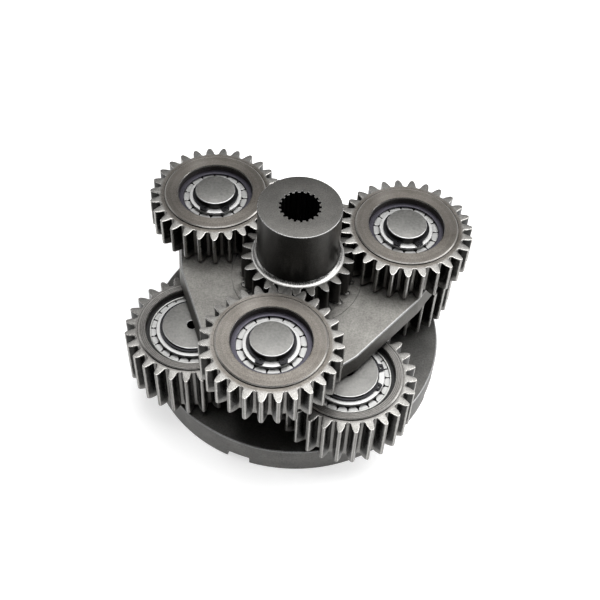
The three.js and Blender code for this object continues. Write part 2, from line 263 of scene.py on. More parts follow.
class Tree:
    """A node tree, with short calls that make its nodes and join them."""

    def __init__(self, tree):
        self.nodes, self.links = tree.nodes, tree.links

    def node(self, kind, inputs=(), **settings):
        """A new node. An input is linked to a socket, or set to a value."""
        made = self.nodes.new(kind)
        for key, value in settings.items():
            setattr(made, key, value)
        for key, value in dict(inputs).items():
            if isinstance(value, bpy.types.NodeSocket):
                self.links.new(value, made.inputs[key])
            else:
                made.inputs[key].default_value = value
        return made

    def math(self, operation, first, second=0.0):
        return self.node("ShaderNodeMath", {0: first, 1: second}, operation=operation).outputs[0]

    def product(self, *factors):
        return reduce(partial(self.math, "MULTIPLY"), factors)

    def inverse(self, value):
        return self.math("SUBTRACT", 1.0, value)

    def ramp(self, value, low, high, low_at=0.3, high_at=0.7):
        """A colour between low and high, as value goes from low_at to high_at."""
        made = self.node("ShaderNodeValToRGB", {"Fac": value})
        stops = made.color_ramp.elements
        stops[0].position, stops[0].color = low_at, (*low, 1)
        stops[1].position, stops[1].color = high_at, (*high, 1)
        return made.outputs["Color"]

    def spread(self, value, low, high, low_at=0.3, high_at=0.7):
        """A number between low and high, as value goes from low_at to high_at."""
        limits = {"From Min": low_at, "From Max": high_at, "To Min": low, "To Max": high}
        return self.node("ShaderNodeMapRange", {"Value": value, **limits}).outputs["Result"]

    def rise(self, length, start, end):
        """From 0 to 1 as a length goes from start to end, in millimetres."""
        return self.spread(length, 0.0, 1.0, start * MM, end * MM)

    def fall(self, length, start, end):
        """From 1 to 0 as a length goes from start to end, in millimetres."""
        return self.spread(length, 1.0, 0.0, start * MM, end * MM)

    def blend(self, factor, first, second, how="MIX"):
        """The first colour at factor 0, and the second at 1."""
        inputs = {MIX_FACTOR: factor, MIX_FIRST: first, MIX_SECOND: second}
        made = self.node("ShaderNodeMix", inputs, data_type="RGBA", blend_type=how)
        return made.outputs[MIX_RESULT]

    def tint(self, colour, by):
        return self.blend(1.0, colour, by, "MULTIPLY")

    def mottle(self, colour, noise, low, high):
        """The colour times a factor between low and high that follows a noise."""
        return self.tint(colour, self.ramp(noise, (low,) * 3, (high,) * 3))


class Shader(Tree):
    """A material's node tree, with the masks and noises that the finishes share."""

    def __init__(self, name):
        self.material = bpy.data.materials.new(name)
        self.material.use_nodes = True
        super().__init__(self.material.node_tree)
        self.bsdf = self.nodes["Principled BSDF"]
        self.place = self.node("ShaderNodeTexCoord").outputs["Object"]

    def noise(self, scale, detail=4.0, roughness=0.55, vector=None):
        inputs = {"Scale": scale, "Detail": detail, "Roughness": roughness}
        inputs["Vector"] = vector or self.place
        return self.node("ShaderNodeTexNoise", inputs).outputs["Fac"]

    def height(self):
        """The distance up the object's own Z axis, in metres."""
        return self.node("ShaderNodeSeparateXYZ", {0: self.place}).outputs["Z"]

    def radius(self):
        """The distance from the object's own Z axis, in metres."""
        level = {0: self.place, 1: (1, 1, 0)}
        flat = self.node("ShaderNodeVectorMath", level, operation="MULTIPLY")
        length = self.node("ShaderNodeVectorMath", {0: flat.outputs[0]}, operation="LENGTH")
        return length.outputs["Value"]

    def steepness(self):
        """0 on a level face and 1 on an upright one, from the face's own normal."""
        normal = self.node("ShaderNodeNewGeometry").outputs["True Normal"]
        upward = self.node("ShaderNodeSeparateXYZ", {0: normal}).outputs["Z"]
        return self.inverse(self.math("ABSOLUTE", upward))

    def upright(self):
        return self.spread(self.steepness(), 0.0, 1.0, 0.8, 0.9)

    def edges(self):
        """1 on the chamfers, which are neither level nor upright."""
        steep = self.steepness()
        off_level = self.spread(steep, 0.0, 1.0, 0.08, 0.16)
        off_upright = self.spread(steep, 1.0, 0.0, 0.55, 0.75)
        return self.product(off_level, off_upright)

    def turned_noise(self, scale, detail=2.0):
        """A noise on radius and height alone, which runs in rings, as a lathe leaves them."""
        place = self.node("ShaderNodeCombineXYZ", {"X": self.radius(), "Y": self.height()})
        return self.noise(scale, detail, 0.6, place.outputs[0])

    def turned_grain(self, amount):
        """Makes the shine spread across the rings that turning leaves."""
        tangent = self.node("ShaderNodeTangent", direction_type="RADIAL", axis="Z")
        self.links.new(tangent.outputs[0], self.bsdf.inputs["Tangent"])
        self.links.new(amount, self.bsdf.inputs["Anisotropic"])
        self.bsdf.inputs["Anisotropic Rotation"].default_value = 0.25

    def bump(self, height, strength, distance, below=None):
        """A bumped normal, on top of the one below it, if any. Its distance is in metres."""
        inputs = {"Height": height, "Strength": strength, "Distance": distance}
        if below is not None:
            inputs["Normal"] = below
        return self.node("ShaderNodeBump", inputs).outputs["Normal"]

    def finish(self, colour, roughness, normal, metallic=1.0):
        """Joins the looks to the shader, and gives the finished material."""
        self.links.new(colour, self.bsdf.inputs["Base Color"])
        self.links.new(roughness, self.bsdf.inputs["Roughness"])
        self.links.new(normal, self.bsdf.inputs["Normal"])
        self.bsdf.inputs["Metallic"].default_value = metallic
        return self.material


def floor_material():
    """Pale, matt and slightly lit from within, so that shadows on it stay light."""
    shader = Shader("pale_floor")
    cloud = shader.noise(3.0, 2.0)
    colour = shader.ramp(cloud, (0.56, 0.56, 0.56), (0.60, 0.60, 0.60))
    weave = shader.noise(900.0, 2.0)
    shader.bsdf.inputs["Specular IOR Level"].default_value = 0.1
    shader.bsdf.inputs["Emission Color"].default_value = (1, 1, 1, 1)
    shader.bsdf.inputs["Emission Strength"].default_value = 0.62
    rough = shader.spread(cloud, 0.85, 0.95)
    return shader.finish(colour, rough, shader.bump(weave, 0.15, 0.0004), 0.0)


def flank_painted_shade(shader, gear, bottom, top, flank_noise):
    """1 on the middle of each tooth's side, where the flank gets painted shade; its borders waver.
    """
    root, tip = root_radius(gear), gear["tip"]
    waver = shader.spread(flank_noise, -MM, MM)
    swayed = shader.math("ADD", shader.radius(), shader.product(waver, 0.3))
    lifted = shader.math("ADD", shader.height(), shader.product(waver, 2.0))
    return shader.product(
        shader.upright(),
        shader.rise(shader.radius(), root + 0.2, root + 0.6),
        shader.fall(swayed, tip - 1.15, tip - 0.65),
        shader.fall(shader.height(), top - 1.5, top - 0.6),
        shader.rise(lifted, bottom + 2.5, bottom + 9.0),
    )


def gear_edge_highlight(shader, gear, highlight_strength):
    """The painted highlight on each chamfer and each broken tip. The step's chamfer gets less of
    it.
    """
    radius, tip = shader.radius(), gear["tip"]
    edge_highlight = shader.product(shader.edges(), highlight_strength)
    tip_highlight = shader.product(
        shader.rise(radius, tip - 0.62, tip - 0.5),
        shader.fall(radius, tip - 0.1, tip - 0.05),
        shader.upright(),
    )
    edge_highlight = shader.math("MAXIMUM", edge_highlight, shader.product(tip_highlight, 0.6 * highlight_strength))
    if "step_r" not in gear:
        return edge_highlight
    step = gear["step_r"]
    on_step = shader.product(
        shader.rise(radius, step - 1.3, step - 1.2),
        shader.fall(radius, step + 0.05, step + 0.15),
        shader.spread(shader.steepness(), 0.0, 1.0, 0.05, 0.1),
    )
    return shader.product(edge_highlight, shader.spread(on_step, 1.0, 0.45))


def gear_material(name, gear, bottom, top, highlight_strength=0.8, web_tones=UPPER_WEB):
    """Hardened gear steel between two heights: turned faces, painted shade on the flanks with
    lighter borders, painted shade on inner upright walls and painted highlight on the chamfers.
    """
    root = root_radius(gear)
    shader = Shader(name)
    radius, upright = shader.radius(), shader.upright()
    patches = shader.noise(30.0, 6.0, 0.65)
    grain = shader.noise(1000.0, 3.0, 0.7)
    flank_noise = shader.noise(170.0, 4.0, 0.6)
    web = shader.ramp(patches, *web_tones)
    web = shader.mottle(web, shader.turned_noise(260.0, 3.0), 0.84, 1.14)
    # painted shade lines at the radii of the web's grooves, which the mesh does not have
    for shade_line_r in gear.get("web_shade_line_radii", ()):
        away = shader.math("ABSOLUTE", shader.math("SUBTRACT", radius, shade_line_r * MM))
        web = shader.tint(web, shader.spread(away, 0.35, 1.0, 0.16 * MM, 0.34 * MM))
    teeth = shader.rise(radius, root - 2, root + 0.5)
    colour = shader.blend(teeth, web, shader.ramp(patches, *TOOTH_ENDS))
    # painted shade on the middle of each flank
    dark = flank_painted_shade(shader, gear, bottom, top, flank_noise)
    colour = shader.blend(dark, colour, shader.ramp(flank_noise, *FLANK_PAINTED_SHADE))
    # painted shade on upright walls inside the roots: the planets' step wall, the sun's bore
    inner_wall_shade = shader.product(upright, shader.fall(radius, root - 1.2, root - 0.9))
    if "step_r" in gear:
        beyond_web = shader.rise(radius, gear["step_r"] - 0.6, gear["step_r"] - 0.3)
        inner_wall_shade = shader.product(inner_wall_shade, beyond_web)
    colour = shader.blend(inner_wall_shade, colour, INNER_WALL_PAINTED_SHADE)
    # painted highlight on the chamfers and broken tips
    edge_highlight = gear_edge_highlight(shader, gear, highlight_strength)
    colour = shader.blend(edge_highlight, colour, EDGE_PAINTED_HIGHLIGHT)
    colour = shader.mottle(colour, grain, 0.62, 1.34)

    rings = shader.turned_noise(900.0)
    rough = shader.spread(rings, 0.36, 0.48)
    rough = shader.math("SUBTRACT", rough, shader.product(dark, 0.12))
    rough = shader.math("SUBTRACT", rough, shader.product(edge_highlight, 0.24))
    level = shader.inverse(shader.math("MAXIMUM", teeth, upright))
    shader.turned_grain(shader.product(level, 0.45))
    soft = shader.bump(grain, 0.3, 0.00015)
    return shader.finish(colour, rough, shader.bump(rings, 0.2, 0.00008, soft))


def steel(name, tones, rough, grain, rings=0.0, edge=0.42, sides=1.0, fleck=0.3, band=None):
    """A steel with cloudy colour, fine grain (its size and depth) and, where it was turned, rings.

    Its chamfers get a painted highlight of the edge's lightness, its upright sides are multiplied
    by sides (painted shade below 1, painted light above 1), and fleck is how much the grain changes
    the colour. A band between two radii gets a painted highlight where it slopes, and less relief.
    """
    shader = Shader(name)
    upright = shader.upright()
    colour = shader.ramp(shader.noise(45.0, 6.0, 0.65), *tones)
    # painted shade on upright sides where sides is below 1, painted light where it is above 1
    colour = shader.tint(colour, shader.ramp(upright, (1, 1, 1), (sides,) * 3, 0.0, 1.0))
    # painted highlight on the chamfers, of the edge's lightness
    edge_highlight = shader.product(shader.edges(), 0.8)
    colour = shader.blend(edge_highlight, colour, (edge, edge, edge, 1))
    scale, relief = grain
    # painted highlight where the band slopes (the hub's flare), with less relief there
    if band:
        radius, level = shader.radius(), shader.inverse(upright)
        inside = shader.rise(radius, band[0] + 0.1, band[0] + 1.0)
        outside = shader.fall(radius, band[1] - 0.3, band[1] + 0.2)
        sloping = shader.spread(shader.steepness(), 0.0, 1.0, 0.0004, 0.003)
        flare_highlight = shader.product(inside, outside, sloping, level)
        colour = shader.blend(flare_highlight, colour, FLARE_PAINTED_HIGHLIGHT)
        smooth = shader.product(shader.rise(radius, band[0] - 1.2, band[0] - 0.8), outside, level)
        relief = shader.product(relief, shader.inverse(smooth))
    grains = shader.noise(scale, 3.0, 0.65)
    colour = shader.mottle(colour, grains, 1 - fleck, 1 + fleck)
    roughness = shader.spread(grains, *rough)
    roughness = shader.math("SUBTRACT", roughness, shader.product(edge_highlight, 0.12))
    normal = shader.bump(grains, relief, 0.0002)
    if rings > 0:
        normal = shader.bump(shader.turned_noise(1100.0), rings, 0.0001, normal)
    return shader.finish(colour, roughness, normal)


# In each steel, edge is the lightness of the painted highlight on its chamfers.
STEELS = {
    # hub: painted shade on its upright sides (sides), painted highlight on its flare (band)
    "hub_steel": dict(
        tones=((0.078, 0.076, 0.072), (0.108, 0.105, 0.099)), rough=(0.30, 0.42),
        grain=(1000.0, 0.1), edge=0.3, sides=0.55, band=(HUB_R, HUB_FLARE_R),
    ),
    # plate: painted shade on its upright walls (sides)
    "plate_steel": dict(
        tones=((0.125, 0.121, 0.113), (0.190, 0.185, 0.173)), rough=(0.44, 0.58),
        grain=(650.0, 0.5), edge=0.26, sides=0.36,
    ),
    # disc: tones darker than the plate's as painted shade for the disc lying under the gears, and
    # painted light on its upright rim (sides above 1)
    "disc_steel_shade_and_light": dict(
        tones=((0.078, 0.077, 0.074), (0.118, 0.116, 0.111)), rough=(0.44, 0.58),
        grain=(650.0, 0.5), edge=0.28, sides=1.25,
    ),
    # pins: painted shade on their upright sides (sides)
    "pin_steel": dict(
        tones=((0.112, 0.111, 0.107), (0.158, 0.156, 0.149)), rough=(0.38, 0.50),
        grain=(420.0, 0.45), edge=0.40, sides=0.3, fleck=0.2,
    ),
    "roller_steel": dict(
        tones=((0.25, 0.25, 0.246), (0.32, 0.32, 0.315)), rough=(0.42, 0.52),
        grain=(900.0, 0.1), fleck=0.1,
    ),
    "raceway_steel": dict(
        tones=((0.34, 0.34, 0.335), (0.40, 0.40, 0.395)), rough=(0.46, 0.56),
        grain=(900.0, 0.1), fleck=0.1,
    ),
    "circlip_steel": dict(
        tones=((0.012, 0.012, 0.013), (0.024, 0.024, 0.026)), rough=(0.28, 0.40),
        grain=(1500.0, 0.1), edge=0.09,
    ),
    "washer_steel": dict(
        tones=((0.12, 0.114, 0.104), (0.155, 0.148, 0.136)), rough=(0.38, 0.50),
        grain=(1300.0, 0.14), rings=0.15,
    ),
}


def keeper_material(name, lip_outer, flange, lip):
    """A retaining ring whose lip, inside a radius, is rubbed light and whose flange is darker; the
    lower ring's near-black flange is painted shade for its place deep under the gear's bore.
    """
    shader = Shader(name)
    grain = shader.noise(900.0, 3.0)
    flange_colour_and_shade = shader.ramp(grain, *(tuple(part * c for c in flange) for part in (0.8, 1.2)))
    rubbed = shader.ramp(grain, *(tuple(part * c for c in lip) for part in (0.9, 1.1)))
    inside = shader.fall(shader.radius(), lip_outer, lip_outer + 0.15)
    colour = shader.blend(inside, flange_colour_and_shade, rubbed)
    rings = shader.turned_noise(700.0)
    return shader.finish(colour, shader.spread(rings, 0.34, 0.5), shader.bump(rings, 0.12, 0.0001))


def make_materials():
    """Every finish of the model, by its name."""
    made = {name: steel(name, **looks) for name, looks in STEELS.items()}
    for stage, web_tones in ((UPPER, UPPER_WEB), (LOWER, LOWER_WEB)):
        name = f"{stage['name']}_gear_steel"
        bottom, top = span(f"{stage['name']}_planet_gear_1")
        gear = {**stage, "teeth": PLANET_TEETH}
        made[name] = gear_material(name, gear, bottom, top - ANNULUS_RISE, web_tones=web_tones)
    made["sun_gear_steel"] = gear_material("sun_gear_steel", SUN_2, *span("second_sun_gear"), 0.15)
    for name, lip_outer, flange, lip in (
        ("upper_retainer_steel", 0.0, (0.048, 0.046, 0.056), (0.05, 0.05, 0.05)),
        # the lower ring's near-black flange is painted shade for its place deep under the gear's
        # bore
        ("lower_retainer_steel", LOWER["keeper_lip"][1], (0.02, 0.02, 0.02), (0.30, 0.30, 0.29)),
    ):
        made[name] = keeper_material(name, lip_outer, flange, lip)
    return made


# -------- mesh building


def polar(radius, angle):
    return radius * math.cos(angle), radius * math.sin(angle)


def circle_loop(radius, height, count, turn=0.0):
    """A level ring of points, in millimetres."""
    angles = turn + np.arange(count) * 2 * math.pi / count
    return at_height(np.column_stack([radius * np.cos(angles), radius * np.sin(angles)]), height)


def at_height(outline, height):
    """A flat outline's points, at a height."""
    return np.column_stack([outline, np.full(len(outline), height)])


def loft(name, loops, ring=False):
    """A closed mesh through loops of equal length. A ring joins its last loop to its first; another
    solid has a fan of faces over its first and its last loop."""
    count = len(loops[0])
    points = np.concatenate(loops) * MM
    faces = []
    pairs = list(zip(range(len(loops)), range(1, len(loops))))
    if ring:
        pairs.append((len(loops) - 1, 0))
    for low, high in pairs:
        for i in range(count):
            j = (i + 1) % count
            faces.append((low * count + i, low * count + j, high * count + j, high * count + i))
    if not ring:
        centres = [loops[0].mean(axis=0) * MM, loops[-1].mean(axis=0) * MM]
        first = len(points)
        points = np.concatenate([points, centres])
        last = (len(loops) - 1) * count
        for i in range(count):
            j = (i + 1) % count
            faces.append((first, j, i))
            faces.append((first + 1, last + i, last + j))
    mesh = bpy.data.meshes.new(name)
    mesh.from_pydata(points.tolist(), [], faces)
    mesh.validate()
    return mesh


def lathe(name, profile):
    """Turns a profile of (radius, height), which is capped where it starts or ends on the axis."""
    loops = [circle_loop(r, height, LATHE_SIDES) for r, height in profile if r > 0]
    return loft(name, loops, ring=profile[0][0] > 0 and profile[-1][0] > 0)


def ring_profile(inner, outer, bottom, top, chamfer):
    """A rectangular ring's profile with its four edges broken."""
    return [
        (inner, bottom + chamfer), (inner + chamfer, bottom),
        (outer - chamfer, bottom), (outer, bottom + chamfer),
        (outer, top - chamfer), (outer - chamfer, top),
        (inner + chamfer, top), (inner, top - chamfer),
    ]


def crease(mesh, radii):
    """Keeps the circles with these radii, in millimetres, sharp."""
    for edge in mesh.edges:
        ends = [mesh.vertices[index].co for index in edge.vertices]
        sizes = [math.hypot(point.x, point.y) / MM for point in ends]
        if any(max(abs(size - r) for size in sizes) < CREASE_REACH for r in radii):
            edge.use_edge_sharp = True


def piece(name, mesh, material, body, replaced, place=(0, 0, 0), creases=()):
    """Makes a mesh a finished piece of the model, which rides on a body and replaces CAD nodes."""
    made = added(name, mesh)
    made.location = place
    outward(mesh)
    mesh.shade_smooth()
    mesh.set_sharp_from_angle(angle=SMOOTH_ANGLE)
    crease(mesh, creases)
    normals = made.modifiers.new("weighted_normals", "WEIGHTED_NORMAL")
    normals.keep_sharp = True
    mesh.materials.clear()
    mesh.materials.append(material)
    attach(made, body)
    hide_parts(*replaced)


def edit(mesh, change):
    """Changes a mesh in place, by a function that takes it as a bmesh."""
    work = bmesh.new()
    work.from_mesh(mesh)
    change(work)
    work.to_mesh(mesh)
    work.free()


def outward(mesh):
    """Turns every face to point out of the solid."""
    edit(mesh, lambda work: bmesh.ops.recalc_face_normals(work, faces=work.faces))


def cut(mesh, cutters, operation="DIFFERENCE"):
    """Cuts cutter meshes out of a mesh, or joins them to it, with the exact solver."""
    made = added("cut", mesh)
    outward(mesh)
    for cutter_mesh in cutters:
        outward(cutter_mesh)
        cutter = added("cutter", cutter_mesh)
        boolean = made.modifiers.new("cut", "BOOLEAN")
        boolean.operation = operation
        boolean.solver = "EXACT"
        boolean.object = cutter
    depsgraph = bpy.context.evaluated_depsgraph_get()
    result = bpy.data.meshes.new_from_object(made.evaluated_get(depsgraph))
    for modifier in list(made.modifiers):
        bpy.data.objects.remove(modifier.object)
    bpy.data.objects.remove(made)
    return result


# -------- outlines


def root_radius(gear):
    return MODULE * (gear["teeth"] / 2 - DEDENDUM + gear["shift"])


def start_azimuth(outline):
    """The azimuth of an outline's first point."""
    return math.atan2(outline[0][1], outline[0][0])


def involute(angle):
    return math.tan(angle) - angle


def tooth_half_angle(gear, radius):
    """Half of a tooth's angle at a radius, on involute flanks."""
    pitch_r = MODULE * gear["teeth"] / 2
    base_r = pitch_r * math.cos(PRESSURE_ANGLE)
    widening = 2 * gear["shift"] * math.tan(PRESSURE_ANGLE)
    thickness = MODULE * (math.pi / 2 + widening) - BACKLASH
    at_radius = math.acos(min(1.0, base_r / radius))
    return thickness / (2 * pitch_r) + involute(PRESSURE_ANGLE) - involute(at_radius)


def half_tooth(gear, flank_points):
    """Radius and angle from the tooth's centre, from the root up one flank to the tip."""
    root = root_radius(gear)
    pitch = 2 * math.pi / gear["teeth"]
    foot = root + FILLET_RISE
    foot_half = tooth_half_angle(gear, foot) + 0.0008
    root_half = min(foot_half + 1.5 / root, pitch / 2 - 0.004)
    points = []
    for t in (0.0, 0.35, 0.7):  # the fillet, as a quadratic curve
        angle = (1 - t) ** 2 * root_half + 2 * t * (1 - t) * (foot_half + 0.0025) + t**2 * foot_half
        radius = (1 - t) ** 2 * root + 2 * t * (1 - t) * (root + 0.05) + t**2 * foot
        points.append((radius, angle))
    shoulder = gear["tip"] - FLANK_FALL
    for i in range(flank_points):
        radius = foot + (shoulder - foot) * i / (flank_points - 1)
        points.append((radius, tooth_half_angle(gear, radius)))
    land_half = tooth_half_angle(gear, gear["tip"]) - TIP_BREAK / gear["tip"]
    points.append((gear["tip"] - 0.45, land_half + 0.75 * TIP_BREAK / gear["tip"]))
    points.append((gear["tip"] - 0.08, land_half + 0.1 * TIP_BREAK / gear["tip"]))
    points.append((gear["tip"], land_half * 0.6))
    return points


def gear_outline(gear, flank_points=5, tip_middle=True):
    """A closed outline of the whole gear, anticlockwise, in millimetres."""
    half = half_tooth(gear, flank_points)
    root = half[0][0]
    pitch = 2 * math.pi / gear["teeth"]
    tooth = [(root, -pitch / 2)]
    tooth += [(radius, -angle) for radius, angle in half]
    if tip_middle:
        tooth.append((gear["tip"], 0.0))
    tooth += [(radius, angle) for radius, angle in reversed(half)]
    points = []
    for i in range(gear["teeth"]):
        centre = gear["turn"] + i * pitch
        points += [polar(radius, centre + angle) for radius, angle in tooth]
    return np.array(points)


def spline_outline(spline):
    """An internal spline's outline, with the same points for each groove."""
    minor, major = spline["minor"], spline["major"]
    floor, mouth = GROOVE_SIDE
    fractions = [0.0, *SPLINE_STEPS, 0.5, *(1 - step for step in reversed(SPLINE_STEPS))]

    def radius(fraction):
        away = min(fraction, 1 - fraction)
        rise = min(1.0, max(0.0, (mouth - away) / (mouth - floor)))
        return minor + (major - minor) * rise * rise * (3 - 2 * rise)

    pitch = 2 * math.pi / spline["teeth"]
    points = []
    for i in range(spline["teeth"]):
        for fraction in fractions:
            angle = spline.get("turn", 0.0) + (i + fraction) * pitch
            points.append(polar(radius(fraction), angle))
    return np.array(points)


def offset(outline, distance):
    """The outline moved inwards, for an anticlockwise outline, by a distance."""
    along = np.roll(outline, -1, axis=0) - np.roll(outline, 1, axis=0)
    along /= np.linalg.norm(along, axis=1)[:, None]
    inward = np.column_stack([-along[:, 1], along[:, 0]])
    return outline + inward * distance


def matching_ring(outline):
    """A function that makes level rings with as many points as an outline, from its azimuth."""
    return partial(circle_loop, count=len(outline), turn=start_azimuth(outline))


def circle_under(outline, radius):
    """A circle whose points stand at the outline's own angles."""
    angles = np.arctan2(outline[:, 1], outline[:, 0])
    return np.column_stack([radius * np.cos(angles), radius * np.sin(angles)])


def end_face(outline, gear, height, fall):
    """The outline at a height, with its teeth falling away towards their tips."""
    root = root_radius(gear)
    radii = np.linalg.norm(outline, axis=1)
    part = np.clip((radii - root) / (gear["tip"] - root), 0, 1)
    return np.column_stack([outline, height - fall * part])


def placed(gear, node, centre=(0, 0)):
    """The gear with its teeth turned as its CAD node's are, from the vertices at their tips."""
    points = np.array([v.co[:2] for v in frame["nodes"][node].data.vertices]) - np.array(centre)
    radii = np.linalg.norm(points, axis=1)
    tips = points[radii > radii.max() * 0.999]
    turns = np.exp(1j * gear["teeth"] * np.arctan2(tips[:, 1], tips[:, 0]))
    return {**gear, "turn": float(np.angle(turns.sum())) / gear["teeth"]}


def span(node):
    """A CAD node's lowest and highest level, in millimetres."""
    low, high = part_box(node)
    return low.z / MM, high.z / MM


# -------- planets


def planet_gear_mesh(stage, gear, bottom, teeth_top):
    """A planet: from its bore up over the raised inner face, and down the step to its teeth."""
    outline = gear_outline(gear)
    inner = offset(outline, TOOTH_CHAMFER)
    root = root_radius(gear)
    step, bore = stage["step_r"], stage["bore_r"]
    top = teeth_top + ANNULUS_RISE
    ring = matching_ring(outline)

    return loft(
        "planet_gear",
        [
            ring(bore, top - BORE_CHAMFER),
            ring(bore + 0.6, top),
            ring(step - STEP_CHAMFER, top),
            ring(step - STEP_DRAFT, top - 0.76),
            ring(step, teeth_top - 0.4),
            ring(step + 0.55, teeth_top - 0.4),
            ring(step + 0.8, teeth_top),
            at_height(circle_under(inner, root - 1.0), teeth_top),
            end_face(inner, gear, teeth_top, END_FALL),
            end_face(outline, gear, teeth_top - TOOTH_CHAMFER, END_FALL),
            end_face(outline, gear, bottom + TOOTH_CHAMFER, -END_FALL),
            end_face(inner, gear, bottom, -END_FALL),
            at_height(circle_under(inner, root - 1.0), bottom),
            ring(bore + BORE_CHAMFER, bottom),
            ring(bore, bottom + BORE_CHAMFER),
        ],
        ring=True,
    )


def rollers_mesh(stage, bottom, top):
    """Every roller of one row as its own closed cylinder with rounded ends."""
    radius, count = stage["roller_r"], stage["rollers"]
    profile = [(radius - 0.6, bottom), (radius, bottom + 0.6), (radius, top - 0.5)]
    profile += [(radius - 0.15, top - 0.15), (radius - 0.5, top)]
    sides = 36
    points, faces = [], []
    for i in range(count):
        angle = (i + 0.5) * 2 * math.pi / count
        centre = np.array([math.cos(angle), math.sin(angle), 0]) * stage["roller_pitch_r"]
        first = len(points)
        for r, z in profile:
            points += [tuple(p) for p in (circle_loop(r, z, sides) + centre) * MM]
        for k in range(len(profile) - 1):
            for s in range(sides):
                t = (s + 1) % sides
                low, high = first + k * sides, first + (k + 1) * sides
                faces.append((low + s, low + t, high + t, high + s))
        faces.append(tuple(first + s for s in reversed(range(sides))))
        faces.append(tuple(first + (len(profile) - 1) * sides + s for s in range(sides)))
    mesh = bpy.data.meshes.new("rollers")
    mesh.from_pydata(points, [], faces)
    return mesh


def circlip_mesh(stage, bottom, top):
    """An open ring with two lugs, and a hole for the pliers in each."""
    inner, outer, lug = stage["pin_r"] - 0.5, stage["clip_outer"], stage["clip_lug"]
    edge = 0.15
    lug_turn, lug_half = math.radians(stage["clip_lug_turn"]), math.radians(stage["clip_lug_half"])
    hole_place, hole_r = stage["clip_hole"]
    width = lug_half * hole_place

    def arc(radius, start, end, steps):
        angles = [start + (end - start) * i / steps for i in range(steps + 1)]
        return [polar(radius, angle) for angle in angles]

    def lug_centre(side):
        return np.array([math.cos(side * lug_turn), math.sin(side * lug_turn)]) * hole_place

    def lug_points(side):
        """From the ring's outer edge, round the lug, to its inner edge."""
        centre = lug_centre(side)
        out = centre / hole_place
        across = np.array([-out[1], out[0]]) * side * width
        shoulder = (outer + lug) / 2
        corners = [(1.1, outer - 0.2), (0.98, shoulder), (0.75, lug)]
        corners += [(-0.65, lug), (-0.93, lug - 0.7), (-1.0, inner + 0.9)]
        return [tuple(centre + across * a + out * (radius - hole_place)) for a, radius in corners]

    far, near = lug_turn + 1.2 * lug_half, lug_turn - lug_half
    outline = arc(outer, far, 2 * math.pi - far, 90) + lug_points(-1)
    outline += arc(inner, -near, near - 2 * math.pi, 90) + list(reversed(lug_points(1)))
    holes = []
    for side in (-1, 1):
        holes.append([tuple(lug_centre(side) + p[:2]) for p in circle_loop(hole_r, 0, 20)])
    curve = bpy.data.curves.new("circlip", "CURVE")
    curve.dimensions = "2D"
    curve.fill_mode = "BOTH"
    curve.extrude = ((top - bottom) / 2 - edge) * MM
    curve.bevel_depth = edge * MM
    curve.offset = -edge * MM
    for points in [outline, *holes]:
        spline = curve.splines.new("POLY")
        spline.points.add(len(points) - 1)
        spline.use_cyclic_u = True
        for target, (x, y) in zip(spline.points, points):
            target.co = (x * MM, y * MM, 0, 1)
    shape = added("circlip", curve)
    bpy.context.view_layer.update()
    evaluated = shape.evaluated_get(bpy.context.evaluated_depsgraph_get())
    mesh = bpy.data.meshes.new_from_object(evaluated)
    bpy.data.objects.remove(shape)
    middle = (bottom + top) / 2 * MM
    turn = Matrix.Rotation(math.radians(stage["clip_turn"]), 4, "Z")
    mesh.transform(Matrix.Translation((0, 0, middle)) @ turn)
    edit(mesh, lambda work: bmesh.ops.remove_doubles(work, verts=work.verts, dist=WELD))
    return mesh


def pin_profile(stage, bottom, top):
    """A pin with broken edges and, in the lower stage, a hole in its upper end."""
    r, hole = stage["pin_r"], stage["pin_hole_r"]
    profile = [(0, bottom), (r - 1.2, bottom), (r, bottom + 1.2), (r, top - 0.9), (r - 0.8, top)]
    if hole > 0:
        profile += [(hole + 0.8, top), (hole, top - 0.8), (hole, top - 29), (0, top - 30)]
    else:
        profile += [(0, top)]
    return profile


def inner_ring_profile(stage, bottom, top):
    """A raceway under one rib, with a bore that clears the pin."""
    bore = stage["pin_r"] + PIN_FIT
    race = stage["roller_pitch_r"] - stage["roller_r"] - 0.05
    rib = stage["inner_rib_r"]
    return [
        (bore, bottom + 0.5), (bore + 0.5, bottom),
        (race - 0.4, bottom), (race, bottom + 0.4),
        (race, top - 2.3), (rib, top - 2.2),
        (rib, top - 0.4), (rib - 0.4, top),
        (bore + 0.5, top), (bore, top - 0.5),
    ]


def keeper_profile(stage, bottom, top):
    """The ring over the rollers' ends: a lip at its inner edge, and a lower flange outside it."""
    inner, outer = stage["keeper_lip"]
    reach = stage["bore_r"] - 0.05
    if reach - outer < 1:
        return ring_profile(inner, reach, bottom, top, 0.3)
    flange = bottom + 0.35 * (top - bottom)
    return [
        (inner, bottom + 0.2), (inner + 0.2, bottom),
        (reach, bottom), (reach, flange), (outer, flange),
        (outer, top - 0.25), (outer - 0.25, top),
        (inner + 0.25, top), (inner, top - 0.25),
    ]


def outer_radius(node):
    low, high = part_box(node)
    return (high.x - low.x) / 2 / MM


